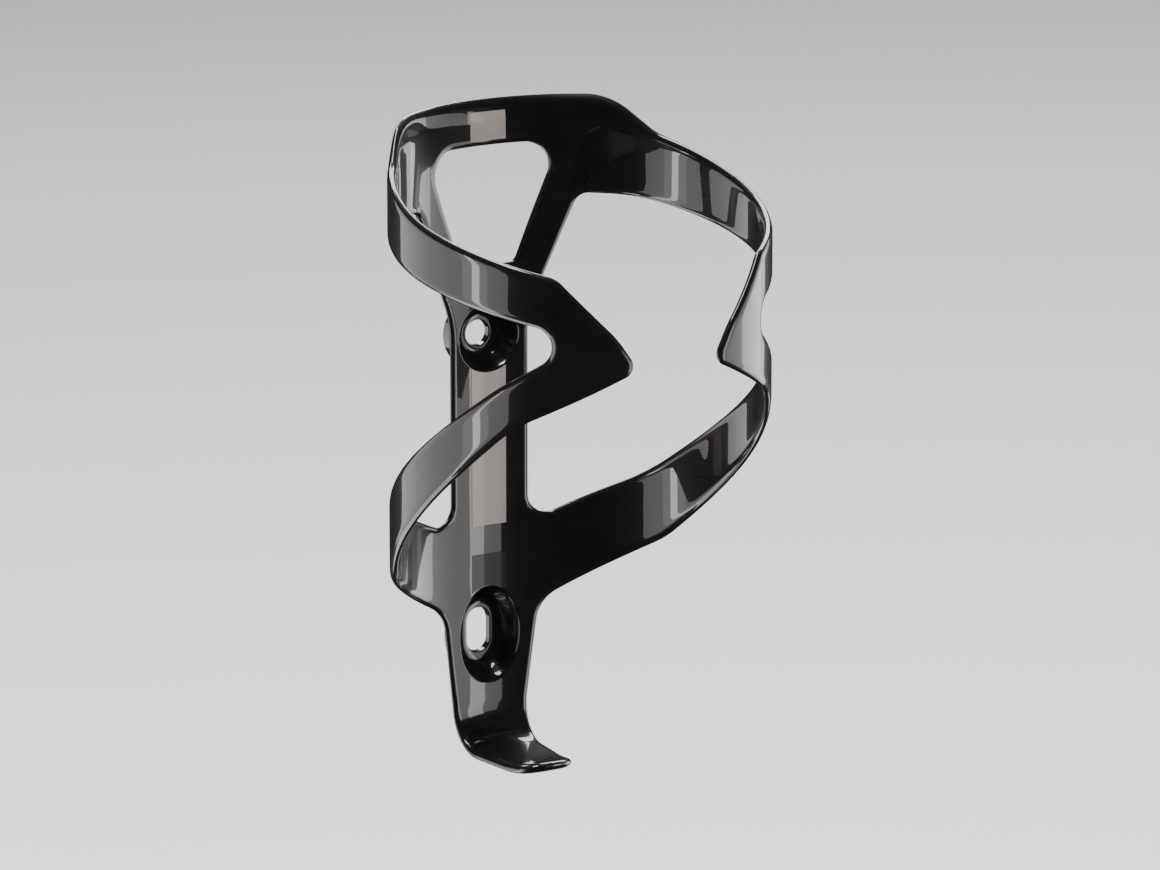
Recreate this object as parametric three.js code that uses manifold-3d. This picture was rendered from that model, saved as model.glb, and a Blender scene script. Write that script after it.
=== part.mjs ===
// Side-wrapping water bottle cage for a bicycle frame: one thin carbon-laminate moulding, split here
// along the lay-up pieces that it is made from, with its printed foils. Millimetres and degrees, +Z up.
// The bottle stands on the foot, +Y points from the bottle to the frame tube, -Y is the open front.
// The origin is on the mounting plane (the rear faces of the two bolt cups), midway between the bolts.
import * as THREE from 'three';
import { mergeVertices } from 'three/addons/utils/BufferGeometryUtils.js';
import Module from 'manifold-3d';

// ---------------------------------------------------------------- driving dimensions: the fit
const bottleRadius = 37; // inner face of the wall, for a standard 74 mm bottle
const boltSpacing = 64; // standard spacing of the two frame bolts
const boltHoleRadius = 2.75; // clearance for an M5 bolt
const slotHalfTravel = 2.05; // the lower hole is a slot, to take up the spacing
const axisToFrame = 43.3; // bottle axis to mounting plane
const wall = 1.9; // laminate thickness
const jointGap = 0.3; // clearance between neighbouring pieces

// ---------------------------------------------------------------- hoop, window and struts
// Heights above the upper bolt, and half widths round the wall from the middle of the back.
const hoopTop = 50.1;
const hoopFlatHalf = 25.6; // where the level top turns down to the shoulder
const hoopTurnRadius = 15;
const lipHeight = 4.6; // flared lead-in along the hoop's top
const lipFlare = 0.5;
const windowTop = 40.4;
const windowTopHalf = 15.9;
const windowTopRadius = 5;
const windowFoot = 15.3;
const windowFootHalf = 6.2;
const windowFootRadius = 2;
const strutOuterHalf = 19.8; // where the strut's outer edge meets the arm's lower edge
const strutOuterTop = 29.3;
const strutOuterRadius = 3;
const strutRootHeight = 4.2; // where the strut's outer edge leaves the spine's side
const strutRootRadius = 20;

// ---------------------------------------------------------------- upper arms and thumbs
// Angles are measured round the bottle axis from the middle of the back.
const shoulderAngle = 55.4;
const shoulderHeight = 42.7;
const shoulderRadius = 15;
const armMidAngle = 92.9;
const armMidHeight = 35.3;
const armMidRadius = 150;
const armUnderAngle = 49.6;
const armUnderHeight = 29;
const armUnderRadius = 60;
const crownAngle = 141.7; // top corner of the thumb
const crownHeight = 27.9;
const crownRadius = 5;
const thumbFrontAngle = 160.3; // where the thumb's front edge turns to its tip
const thumbFrontHeight = 15.5;
const thumbFrontRadius = 25;
const tipAngle = 166.9;
const tipHeight = 8.9;
const tipRadius = 2.6;
const notchAngle = 151.1; // where the straight edges of the notch would meet
const notchHeight = 15.9;
const notchRadius = 4.1;
const heelAngle = 129; // the thumb's lower edge meets the lower arm's
const heelHeight = -2.9;
const heelRadius = 30;

// ---------------------------------------------------------------- lower arms, yoke and neck
const elbowAngle = 123.9; // lower arm's upper edge, near the thumb
const elbowHeight = 5;
const elbowRadius = 60;
// Heights from here on are above the lower bolt.
const kneeAngle = 52.6; // lower arm's upper edge, near the spine
const kneeRise = 34.2;
const kneeRadius = 50;
const crotchRise = 23.3; // upper edge of the yoke beside the spine
const crotchRadius = 3.8;
const hipAngle = 59.2; // lower arm's lower edge
const hipRise = 20.5;
const hipRadius = 25;
const throatMargin = 4; // cup's flange to where the yoke's lower edge would meet the neck's side
const throatRise = 6.2;
const throatRadius = 8;

// ---------------------------------------------------------------- spine, neck and foot
const spineMargin = 1.7; // upper cup's flange to the side of the spine
const neckMargin = 1.4; // lower cup's flange to the side of the neck, at the top of its bend
const spineDepth = 3.9; // the spine and neck swell to this in the middle, for stiffness
const spineEdge = 1.4; // thickness at their rounded edges
const swellWidth = 5; // edge to full depth
const footDrop = 22.4; // bottle's seat below the lower bolt
const footBend = 8; // inner radius of the bend from neck to foot
const footReach = 26; // front of the wall to the end of the foot
const footThickness = 2.3;
const footTipHalf = 6.2;
const footTipRadius = 3.5;
const footLipRise = 1.4; // the end turns up to hold the bottle's base
const footLipShare = 0.5; // share of the flat part that the rise starts at

// ---------------------------------------------------------------- bolt cups
const cupRadius = 7; // rim of the round dish
const cupFlange = 0.5; // flat ring round the dish
const cupDepth = 4.4; // wall's inner face to the bolt's seat
const cupFloorRadius = 4.7;
const cupRimRise = 0.4; // the flange stands this much proud of the wall's inner face
const bossChamfer = 1; // round the rear face
const lowerCupHalfTravel = 3.2; // the lower dish is an oval, drawn out by this much each way

// ---------------------------------------------------------------- foils
const foilThickness = 0.3;
const stripeHalf = 4.1;
const stripeTopClearance = 1; // below the upper cup's rim
const stripeFootRise = 23.8; // above the lower bolt
const shortStripeTopRise = 17.6;
const shortStripeClearance = 1; // above the lower cup's rim
const badgeHalfWidth = 4.2;
const badgeHeight = 6.3;
const badgeClearance = 0.8; // above the window

// ---------------------------------------------------------------- cuts between the pieces
// The two ends of each cut, as [round the wall, up] from the corner of the moulding that each is nearest to.
const shoulderCutEnds = { outer: [1, 0], inner: [-2.3, 0] };
const strutTopCutEnds = { inner: [-2.8, -7.9], outer: [-1.6, -3.5] };
const strutFootCutEnds = { inner: [-1.3, 0], outer: [2.3, 5.8] };
const thumbTopCutEnds = { outer: [-4.5, 1.1], inner: [-7, 3.2] };
const armTipCutEnds = { outer: [5.2, 2.8], inner: [3, 2] };
const armRootCutEnds = { outer: [-5.2, -2.7], inner: [-6, -2.8] };
const neckTopCutEnd = [0.4, -1.2];
const neckTopCutShare = 0.75; // half width of the level middle of the cut, as a share of the spine's
const neckTopClearance = 3.3; // lower cup's rim to that cut
const spineFootRise = 6.9; // crotch to the cut between spine and yoke

const upperBolt = boltSpacing / 2;
const lowerBolt = -boltSpacing / 2;
const flangeRadius = cupRadius + cupFlange;
const spineHalf = flangeRadius + spineMargin;
const neckHalf = flangeRadius + neckMargin;
const throatHalf = flangeRadius + throatMargin;
const spineFoot = lowerBolt + crotchRise + spineFootRise;
const neckFoot = lowerBolt - footDrop + footBend;
const onWall = (angle) => bottleRadius * THREE.MathUtils.degToRad(angle);
const { lerp, smoothstep } = THREE.MathUtils;

// ---------------------------------------------------------------- the wall, rolled round the bottle
/** How far the hoop's lead-in lip leans out at a height. */
function lean(height) {
  const root = upperBolt + hoopTop - lipHeight;
  return lipFlare * smoothstep(height, root, root + 1.6 * lipHeight);
}

/** A point of the wall: s round the wall, height, and depth outwards from its inner face. */
function rolled(s, height, depth) {
  const radius = bottleRadius + depth + lean(height);
  const turn = s / bottleRadius;
  return new THREE.Vector3(radius * Math.sin(turn), radius * Math.cos(turn) - axisToFrame, height);
}

// ---------------------------------------------------------------- edges
/** An edge through corners [s, height, radius]: straight lines, and an arc tangent to both at each corner. */
function edgeThrough(turns) {
  const path = new THREE.Path();
  turns.forEach(([s, height, radius], i) => {
    const here = new THREE.Vector2(s, height);
    if (i === 0) {
      path.moveTo(here.x, here.y);
      return;
    }
    if (i === turns.length - 1) {
      path.lineTo(here.x, here.y);
      return;
    }
    const back = new THREE.Vector2(...turns[i - 1]).sub(here).normalize();
    const on = new THREE.Vector2(...turns[i + 1]).sub(here).normalize();
    const half = back.angleTo(on) / 2;
    const reach = radius / Math.tan(half);
    const start = here.clone().addScaledVector(back, reach);
    const centre = here.clone().addScaledVector(back.clone().add(on).normalize(), radius / Math.sin(half));
    const end = here.clone().addScaledVector(on, reach);
    const clockwise = back.cross(on) > 0;
    path.lineTo(start.x, start.y);
    const [from, to] = [start, end].map((p) => p.clone().sub(centre).angle());
    path.absarc(centre.x, centre.y, radius, from, to, clockwise);
  });
  const samples = path.getSpacedPoints(1200);
  const lengths = [0];
  samples.slice(1).forEach((p, i) => lengths.push(lengths[i] + p.distanceTo(samples[i])));
  return { samples, lengths };
}

/** The place along an edge that lies nearest to a point. */
function place(edge, point) {
  const gaps = edge.samples.map((p) => Math.hypot(p.x - point[0], p.y - point[1]));
  return edge.lengths[gaps.indexOf(Math.min(...gaps))];
}

/** The point at a length along an edge. */
function pointAt(edge, length) {
  const i = Math.max(1, edge.lengths.findIndex((l) => l >= length));
  const share = (length - edge.lengths[i - 1]) / (edge.lengths[i] - edge.lengths[i - 1]);
  return edge.samples[i - 1].clone().lerp(edge.samples[i], share);
}

/** Evenly spaced points of an edge between two cuts, held back from each by half a joint's gap. */
function between(edge, from, to, spans) {
  const [a, b] = [place(edge, from), place(edge, to)];
  const hold = Math.sign(b - a) * jointGap / 2;
  return Array.from({ length: spans + 1 }, (_, i) => pointAt(edge, lerp(a + hold, b - hold, i / spans)));
}

// ---------------------------------------------------------------- solids
/** A closed solid through rings of points, each ring joined to the next; open ends are capped. */
function skin(rings, joined = false) {
  const size = rings[0].length;
  const vertices = rings.flat().flatMap((p) => [p.x, p.y, p.z]);
  const faces = [];
  const steps = joined ? rings.length : rings.length - 1;
  for (let i = 0; i < steps; i++) {
    const [here, there] = [i * size, ((i + 1) % rings.length) * size];
    for (let j = 0; j < size; j++) {
      const k = (j + 1) % size;
      faces.push([here + j, there + j, there + k], [here + j, there + k, here + k]);
    }
  }
  if (!joined) {
    const cap = (ring) => THREE.ShapeUtils.triangulateShape(flattened(ring), []);
    const last = (rings.length - 1) * size;
    faces.push(...cap(rings[0]), ...cap(rings.at(-1)).map(([a, b, c]) => [last + a, last + c, last + b]));
  }
  const geometry = new THREE.BufferGeometry();
  geometry.setAttribute('position', new THREE.Float32BufferAttribute(vertices, 3));
  geometry.setIndex(faces.flat());
  return outward(geometry);
}

/** A ring's points in the plane that it lies closest to. */
function flattened(ring) {
  const normal = new THREE.Vector3();
  ring.forEach((p, i) => normal.add(new THREE.Vector3().crossVectors(p, ring[(i + 1) % ring.length])));
  const across = new THREE.Vector3().subVectors(ring[1], ring[0]);
  const u = across.addScaledVector(normal.normalize(), -across.dot(normal)).normalize();
  const v = new THREE.Vector3().crossVectors(normal, u);
  return ring.map((p) => new THREE.Vector2(p.dot(u), p.dot(v)));
}

/** The same closed mesh with its faces pointing out. */
function outward(geometry) {
  const at = (i) => new THREE.Vector3().fromBufferAttribute(geometry.attributes.position, i);
  const index = [...geometry.index.array];
  let volume = 0;
  for (let i = 0; i < index.length; i += 3) {
    volume += at(index[i]).dot(at(index[i + 1]).cross(at(index[i + 2])));
  }
  if (volume < 0) geometry.setIndex(index.reverse());
  return geometry;
}

/** Cross-section of a plain laminate band, as [across, depth]: a slab with round noses. */
function slab(width, spans) {
  const nose = wall / 2;
  const front = Array.from({ length: spans + 1 }, (_, i) => [lerp(nose, width - nose, i / spans), 0]);
  const far = [45, 90, 135].map((a) => noseAt(a, width - nose, nose, 1));
  const near = [135, 90, 45].map((a) => noseAt(a, nose, nose, -1));
  return [...front, ...far, ...front.map(([w]) => [w, wall]).reverse(), ...near];
}

/** A point of a round nose, turned from the front face by an angle. */
function noseAt(angle, across, nose, side) {
  const turn = THREE.MathUtils.degToRad(angle);
  return [across + side * nose * Math.sin(turn), nose - nose * Math.cos(turn)];
}

/** Cross-section of the spine and neck, as [across, depth]: thin round edges and a back that swells. */
function swollen(width, spans) {
  const nose = spineEdge / 2;
  const reach = Math.min(swellWidth, width / 2 - nose);
  const across = Array.from({ length: spans + 1 }, (_, i) => lerp(nose, width - nose, i / spans));
  const depthAt = (w) => lerp(spineEdge, spineDepth, smoothstep(Math.min(w, width - w), nose, nose + reach));
  const flank = [0.3, 0.6, 1].map((share) => nose + reach * share);
  const back = [nose, ...flank, ...flank.map((w) => width - w).reverse(), width - nose].reverse();
  const far = [45, 90, 135].map((a) => noseAt(a, width - nose, nose, 1));
  const near = [135, 90, 45].map((a) => noseAt(a, nose, nose, -1));
  return [...across.map((w) => [w, 0]), ...far, ...back.map((w) => [w, depthAt(w)]), ...near];
}

/** A piece of the wall between two edges, given as lists of points, with a cross-section at each pair. */
function band(lower, upper, spans, section = slab) {
  return skin(lower.map((a, i) => {
    const b = upper[i];
    const width = a.distanceTo(b);
    const along = b.clone().sub(a).divideScalar(width);
    return section(width, spans).map(([w, depth]) => rolled(a.x + along.x * w, a.y + along.y * w, depth));
  }));
}

/** A foil that follows the wall's inner face between two heights. */
function foil(half, low, high, rise) {
  const lift = -jointGap;
  const spans = 4;
  const rings = Array.from({ length: rise + 1 }, (_, i) => lerp(low, high, i / rise)).map((height) => {
    const across = Array.from({ length: spans + 1 }, (_, j) => lerp(-half, half, j / spans));
    return [...across.map((s) => rolled(s, height, lift)),
      ...across.reverse().map((s) => rolled(s, height, lift - foilThickness))];
  });
  return skin(rings);
}

/** A ring of points round a bolt's axis: a circle drawn out up and down by a travel, at a depth in y. */
function stadium(radius, travel, y, height, segments = 32) {
  return Array.from({ length: segments }, (_, i) => {
    const turn = ((i + 0.5) / segments) * 2 * Math.PI;
    const shift = Math.sign(Math.sin(turn)) * travel;
    return new THREE.Vector3(radius * Math.cos(turn), y, height + radius * Math.sin(turn) + shift);
  });
}

/** A bolt cup: a dish with a flat floor and a through hole, backed by a boss that meets the frame. */
function boltCup(height, holeTravel, rimTravel) {
  const front = bottleRadius - axisToFrame;
  const seat = front + cupDepth;
  const at = (share) => lerp(cupFloorRadius, cupRadius, share);
  const profile = [
    [boltHoleRadius, 0, holeTravel],
    [boltHoleRadius, seat, holeTravel],
    [cupFloorRadius, seat, holeTravel],
    [at(0.55), seat - 0.16 * cupDepth, lerp(holeTravel, rimTravel, 0.5)],
    [at(0.9), seat - 0.55 * cupDepth, lerp(holeTravel, rimTravel, 0.9)],
    [cupRadius, front + cupRimRise / 2, rimTravel],
    [flangeRadius, front - cupRimRise, rimTravel],
    [flangeRadius, -bossChamfer, rimTravel],
    [flangeRadius - bossChamfer, 0, rimTravel],
  ];
  return skin(profile.map(([radius, y, travel]) => stadium(radius, travel, y, height)), true);
}

/** The foot: the neck carried round a bend and forward under the bottle, flat where the bottle stands. */
function bottleFoot() {
  const bend = footBend * Math.PI / 2;
  const flat = footReach - footBend;
  const round = flat - footTipRadius;
  const stations = [
    ...[0, 1, 2, 3, 4, 5].map((k) => (bend * k) / 5),
    ...[0.25, 0.5, 0.75, 1].map((share) => bend + round * share),
    ...[20, 45, 70].map((a) => bend + round + footTipRadius * Math.sin(THREE.MathUtils.degToRad(a))),
  ];
  return skin(stations.map((length) => {
    const turn = Math.min(length / footBend, Math.PI / 2);
    const ahead = Math.max(length - bend, 0);
    const lift = footLipRise * Math.max((ahead / flat - footLipShare) / (1 - footLipShare), 0) ** 2;
    const y = bottleRadius - axisToFrame - footBend * (1 - Math.cos(turn)) - ahead;
    const z = neckFoot - footBend * Math.sin(turn) + lift;
    const beyond = Math.max(ahead - round, 0);
    const corner = footTipRadius - Math.sqrt(footTipRadius ** 2 - beyond ** 2);
    const half = lerp(neckHalf, footTipHalf, smoothstep(length, 0, bend + flat)) - corner;
    const bent = smoothstep(length, 0, bend);
    return footRing(half, y, z, turn, 1 - bent, lerp(spineDepth, footThickness, bent));
  }));
}

/** One cross-section of the foot: the neck's section at the bend, a flat plate under the bottle. */
function footRing(half, y, z, turn, crown, middle) {
  const nose = spineEdge / 2;
  return swollen(2 * half, 4).map(([w, d]) => {
    const x = w - half;
    const sag = crown * (bottleRadius - Math.sqrt(bottleRadius ** 2 - x ** 2));
    const out = d <= nose ? d - sag : lerp(nose, middle, (d - nose) / (spineDepth - nose)) - sag;
    return new THREE.Vector3(x, y + out * Math.cos(turn), z - out * Math.sin(turn));
  });
}

// ---------------------------------------------------------------- cutting
const wasm = await Module();
wasm.setup();

/** A mesh as a solid that can be cut. */
function solid(geometry) {
  const bare = new THREE.BufferGeometry();
  bare.setAttribute('position', geometry.attributes.position.clone());
  bare.setIndex(geometry.index ? geometry.index.clone() : null);
  const merged = mergeVertices(bare, 1e-5);
  const mesh = new wasm.Mesh({
    numProp: 3,
    vertProperties: new Float32Array(merged.attributes.position.array),
    triVerts: new Uint32Array(merged.index.array),
  });
  return new wasm.Manifold(mesh);
}

/** One solid with another cut away. */
function cut(geometry, tool) {
  const mesh = solid(geometry).subtract(solid(tool)).getMesh();
  const result = new THREE.BufferGeometry();
  result.setAttribute('position', new THREE.Float32BufferAttribute(mesh.vertProperties, 3));
  result.setIndex([...mesh.triVerts]);
  return result;
}

/** The opening in the wall that a bolt cup drops into. */
function cupOpening(height, travel) {
  const radius = flangeRadius + jointGap;
  return skin([-20, 10].map((y) => stadium(radius, travel, y, height)));
}

// ---------------------------------------------------------------- edges of the moulding, right-hand side
const corners = {
  windowHigh: [windowTopHalf, upperBolt + windowTop],
  windowLow: [windowFootHalf, upperBolt + windowFoot],
  shoulder: [onWall(shoulderAngle), upperBolt + shoulderHeight],
  crown: [onWall(crownAngle), upperBolt + crownHeight],
  heel: [onWall(heelAngle), upperBolt + heelHeight],
  hip: [onWall(hipAngle), lowerBolt + hipRise],
  throat: [throatHalf, lowerBolt + throatRise],
  strutRoot: [spineHalf, upperBolt + strutRootHeight],
  strutTop: [strutOuterHalf, upperBolt + strutOuterTop],
  elbow: [onWall(elbowAngle), upperBolt + elbowHeight],
  knee: [onWall(kneeAngle), lowerBolt + kneeRise],
};
const windowEdge = edgeThrough([
  [0, upperBolt + windowTop],
  [...corners.windowHigh, windowTopRadius],
  [...corners.windowLow, windowFootRadius],
  [0, upperBolt + windowFoot],
]);
const outerEdge = edgeThrough([
  [0, upperBolt + hoopTop],
  [hoopFlatHalf, upperBolt + hoopTop, hoopTurnRadius],
  [...corners.shoulder, shoulderRadius],
  [onWall(armMidAngle), upperBolt + armMidHeight, armMidRadius],
  [...corners.crown, crownRadius],
  [onWall(thumbFrontAngle), upperBolt + thumbFrontHeight, thumbFrontRadius],
  [onWall(tipAngle), upperBolt + tipHeight, tipRadius],
  [...corners.heel, heelRadius],
  [...corners.hip, hipRadius],
  [...corners.throat, throatRadius],
  [neckHalf, neckFoot],
]);
const sideEdge = edgeThrough([
  [spineHalf, upperBolt - cupRadius],
  [...corners.strutRoot, strutRootRadius],
  [...corners.strutTop, strutOuterRadius],
  [onWall(armUnderAngle), upperBolt + armUnderHeight, armUnderRadius],
  [onWall(notchAngle), upperBolt + notchHeight, notchRadius],
  [...corners.elbow, elbowRadius],
  [...corners.knee, kneeRadius],
  [spineHalf, lowerBolt + crotchRise, crotchRadius],
  [spineHalf, spineFoot],
]);

// ---------------------------------------------------------------- cuts between the pieces
// A cut crosses the wall from one edge to another, and both neighbours end on the same two points.
const offset = ([s, height], [along, up]) => [s + along, height + up];
const shoulderCut = { outer: offset(corners.shoulder, shoulderCutEnds.outer),
  inner: offset([onWall(shoulderAngle), upperBolt + armUnderHeight], shoulderCutEnds.inner) };
const strutTopCut = { inner: offset(corners.windowHigh, strutTopCutEnds.inner),
  outer: offset(corners.strutTop, strutTopCutEnds.outer) };
const strutFootCut = { inner: offset(corners.windowLow, strutFootCutEnds.inner),
  outer: offset(corners.strutRoot, strutFootCutEnds.outer) };
const thumbTopCut = { outer: offset(corners.crown, thumbTopCutEnds.outer),
  inner: offset([onWall(crownAngle), upperBolt + notchHeight], thumbTopCutEnds.inner) };
const armTipCut = { outer: offset(corners.heel, armTipCutEnds.outer),
  inner: offset(corners.elbow, armTipCutEnds.inner) };
const armRootCut = { outer: offset(corners.hip, armRootCutEnds.outer),
  inner: offset(corners.knee, armRootCutEnds.inner) };
const spineFootCut = [spineHalf, spineFoot];
const neckTopCut = { outer: offset(corners.throat, neckTopCutEnd), half: neckTopCutShare * spineHalf,
  middle: lowerBolt + cupRadius + lowerCupHalfTravel + neckTopClearance };

/** The left-hand copy of a list of points. */
const mirrored = (points) => points.map((p) => new THREE.Vector2(-p.x, p.y));
/** A list that starts on the centre line, led into by its own left-hand copy. */
const bothSides = (points) => [...mirrored(points).reverse(), ...points.slice(points[0].x === 0 ? 1 : 0)];
/** Evenly spaced points from one point towards another, without the last. */
const towards = (a, b, spans) => Array.from({ length: spans }, (_, i) => a.clone().lerp(b, i / spans));

/** Points of an edge at the same shares of its length as another list has of its own. */
function inStep(points, edge, from, to) {
  const lengths = [0];
  points.slice(1).forEach((p, i) => lengths.push(lengths[i] + p.distanceTo(points[i])));
  const [a, b] = [place(edge, from), place(edge, to)];
  const hold = Math.sign(b - a) * jointGap / 2;
  return lengths.map((l) => pointAt(edge, lerp(a, b - hold, l / lengths.at(-1))));
}

// ---------------------------------------------------------------- the pieces
function topHoop() {
  const middle = [0, upperBolt + windowTop];
  const windowSide = between(windowEdge, middle, strutTopCut.inner, 8);
  windowSide[0].x = 0;
  const armSide = between(sideEdge, strutTopCut.outer, shoulderCut.inner, 6);
  const lower = [...windowSide, ...towards(windowSide.at(-1), armSide[0], 3).slice(1), ...armSide];
  const upper = inStep(lower, outerEdge, [0, upperBolt + hoopTop], shoulderCut.outer);
  return band(bothSides(lower), bothSides(upper), 4);
}

function strut(side) {
  const inner = between(windowEdge, strutTopCut.inner, strutFootCut.inner, 8);
  const outer = between(sideEdge, strutTopCut.outer, strutFootCut.outer, 8);
  return band(side(inner), side(outer), 3);
}

function spine() {
  const right = between(sideEdge, strutFootCut.outer, [spineHalf, upperBolt], 5).slice(0, -1).reverse();
  const foot = new THREE.Vector2(spineHalf, spineFoot + jointGap / 2);
  const waist = new THREE.Vector2(spineHalf, upperBolt);
  const head = between(windowEdge, strutFootCut.inner, [0, upperBolt + windowFoot], 4)[0];
  const profile = [...towards(foot, waist, 8), waist, ...right, head];
  return cut(band(mirrored(profile), profile, 6, swollen), cupOpening(upperBolt, 0));
}

function upperArm(side) {
  const outer = between(outerEdge, shoulderCut.outer, thumbTopCut.outer, 16);
  const inner = between(sideEdge, shoulderCut.inner, thumbTopCut.inner, 16);
  return band(side(inner), side(outer), 2);
}

function thumb(side) {
  const outer = between(outerEdge, thumbTopCut.outer, armTipCut.outer, 30);
  const inner = between(sideEdge, thumbTopCut.inner, armTipCut.inner, 30);
  return band(side(inner), side(outer), 4);
}

function lowerArm(side) {
  const outer = between(outerEdge, armTipCut.outer, armRootCut.outer, 16);
  const inner = between(sideEdge, armTipCut.inner, armRootCut.inner, 16);
  return band(side(outer), side(inner), 3);
}

function yoke() {
  const middleTop = new THREE.Vector2(0, spineFoot - jointGap / 2);
  const armTop = between(sideEdge, spineFootCut, armRootCut.inner, 10);
  const upper = [...towards(middleTop, armTop[0], 3), ...armTop];
  const middleFoot = new THREE.Vector2(0, neckTopCut.middle + jointGap / 2);
  const corner = new THREE.Vector2(neckTopCut.half, neckTopCut.middle + jointGap / 2);
  const armFoot = between(outerEdge, neckTopCut.outer, armRootCut.outer, 8);
  const lower = [...towards(middleFoot, corner, 3), ...towards(corner, armFoot[0], 2), ...armFoot];
  return band(bothSides(lower), bothSides(upper), 5);
}

function neck() {
  const corner = new THREE.Vector2(neckTopCut.half, neckTopCut.middle - jointGap / 2);
  const side = between(outerEdge, neckTopCut.outer, [neckHalf, neckFoot + jointGap], 10);
  const profile = [corner, corner.clone().lerp(side[0], 0.5), ...side];
  return cut(band(mirrored(profile), profile, 6, swollen), cupOpening(lowerBolt, lowerCupHalfTravel));
}

const carbon = { color: 0x15161a, roughness: 0.18, metalness: 0 };
const silverFoil = { color: 0xaeb2b6, roughness: 0.35, metalness: 0.6 };
const greyFoil = { color: 0x4a4d52, roughness: 0.35, metalness: 0.6 };
const asIs = (points) => points;

const pieces = [
  ['top_hoop', topHoop(), carbon],
  ['right_strut', strut(asIs), carbon],
  ['left_strut', strut(mirrored), carbon],
  ['spine', spine(), carbon],
  ['right_upper_arm', upperArm(asIs), carbon],
  ['left_upper_arm', upperArm(mirrored), carbon],
  ['right_thumb', thumb(asIs), carbon],
  ['left_thumb', thumb(mirrored), carbon],
  ['right_lower_arm', lowerArm(asIs), carbon],
  ['left_lower_arm', lowerArm(mirrored), carbon],
  ['yoke', yoke(), carbon],
  ['neck', neck(), carbon],
  ['bottle_foot', bottleFoot(), carbon],
  ['upper_bolt_cup', boltCup(upperBolt, 0, 0), carbon],
  ['lower_bolt_cup', boltCup(lowerBolt, slotHalfTravel, lowerCupHalfTravel), carbon],
  ['hoop_badge', foil(badgeHalfWidth, upperBolt + windowTop + badgeClearance,
    upperBolt + windowTop + badgeClearance + badgeHeight, 4), silverFoil],
  ['spine_stripe', foil(stripeHalf, lowerBolt + stripeFootRise,
    upperBolt - cupRadius - stripeTopClearance, 1), silverFoil],
  ['short_stripe', foil(stripeHalf, lowerBolt + lowerCupHalfTravel + cupRadius + shortStripeClearance,
    lowerBolt + shortStripeTopRise, 1), greyFoil],
];

const cage = new THREE.Group();
for (const [name, geometry, finish] of pieces) {
  const mesh = new THREE.Mesh(geometry, new THREE.MeshStandardMaterial(finish));
  mesh.name = name;
  cage.add(mesh);
}

export default cage;
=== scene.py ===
"""A carbon water bottle cage, hanging free in a plain pale studio.

Metres, in the frame of its CAD model: +Z up along the bottle, +Y from the bottle to the frame tube, -Y the
open front, and the origin between the bolts.
"""

import bpy
import numpy as np
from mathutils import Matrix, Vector


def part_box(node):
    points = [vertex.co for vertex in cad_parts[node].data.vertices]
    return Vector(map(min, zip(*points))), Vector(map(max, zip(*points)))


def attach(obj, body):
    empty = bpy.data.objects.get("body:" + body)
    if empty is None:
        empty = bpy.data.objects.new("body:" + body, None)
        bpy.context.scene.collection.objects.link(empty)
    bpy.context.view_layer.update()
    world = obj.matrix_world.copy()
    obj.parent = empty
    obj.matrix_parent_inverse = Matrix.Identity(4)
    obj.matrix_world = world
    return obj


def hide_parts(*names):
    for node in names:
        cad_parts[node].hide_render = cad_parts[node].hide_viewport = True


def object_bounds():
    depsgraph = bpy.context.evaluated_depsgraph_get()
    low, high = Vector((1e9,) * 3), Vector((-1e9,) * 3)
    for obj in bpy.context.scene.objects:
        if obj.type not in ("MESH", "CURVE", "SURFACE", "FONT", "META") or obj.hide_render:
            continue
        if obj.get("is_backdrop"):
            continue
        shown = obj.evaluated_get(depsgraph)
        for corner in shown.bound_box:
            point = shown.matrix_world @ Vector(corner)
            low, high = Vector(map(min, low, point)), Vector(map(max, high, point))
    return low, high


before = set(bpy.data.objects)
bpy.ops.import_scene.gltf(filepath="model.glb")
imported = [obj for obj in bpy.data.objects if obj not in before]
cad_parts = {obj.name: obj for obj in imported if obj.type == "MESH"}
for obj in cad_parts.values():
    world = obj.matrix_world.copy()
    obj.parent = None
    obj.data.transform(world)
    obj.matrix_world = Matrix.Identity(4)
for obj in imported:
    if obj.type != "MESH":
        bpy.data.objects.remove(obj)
cad_low, cad_high = (list(corner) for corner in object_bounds())

# ---------------------------------------------------------------- top hoop
# The hoop is the open band that the bottle is pushed through. Like all of the cage it is a shell of carbon
# laminate 1.9 mm thick, moulded round a bottle-sized tool, with bullnosed free edges, a faint lead-in lip
# along the top and a trapezoid window below.
WALL = 0.0019
BORE = cad_high[0] - WALL  # radius of the wall's inner face
AXIS_TO_FRAME = 0.0433  # bottle's axis to the mounting plane
UPPER_BOLT = sum(corner[2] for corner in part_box("upper_bolt_cup")) / 2
LOWER_BOLT = sum(corner[2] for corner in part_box("lower_bolt_cup")) / 2
SPINE_HALF = 0.0092
SPINE_EDGE = 0.0014  # thickness of the spine's and neck's rounded sides
SPINE_DEPTH = 0.0039  # they swell to this behind
SWELL_WIDTH = 0.005  # over this distance from the sides
HOOP_TOP = UPPER_BOLT + 0.0501
WINDOW_TOP = UPPER_BOLT + 0.0404
WINDOW_FOOT = UPPER_BOLT + 0.0153
ARM_BLEND = (0.010, 0.022)  # sideways, the thin spine passes into full wall between these
STRUT_BLEND = (WINDOW_FOOT - 0.004, WINDOW_FOOT + 0.012)  # and upwards between these
SWELL_TOP = (WINDOW_FOOT - 0.002, WINDOW_FOOT + 0.004)  # the swollen back ends here
LIP_HEIGHT = 0.0042
LIP_FLARE = 0.0009
LIP_CURVE = 1.15  # power of the height by which the lip flares
LIP_ENDS = (0.022, 0.036)  # the lip fades out between these distances from the middle
SPINE_FOOT = LOWER_BOLT + 0.0292  # just above the crotch, where the side is still straight
SPINE_NECK = UPPER_BOLT - 0.007  # the spine's sides are straight up to here
NOSE_REACH = 1.8  # how far an edge's rounding reaches in, as a multiple of half its thickness
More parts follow.
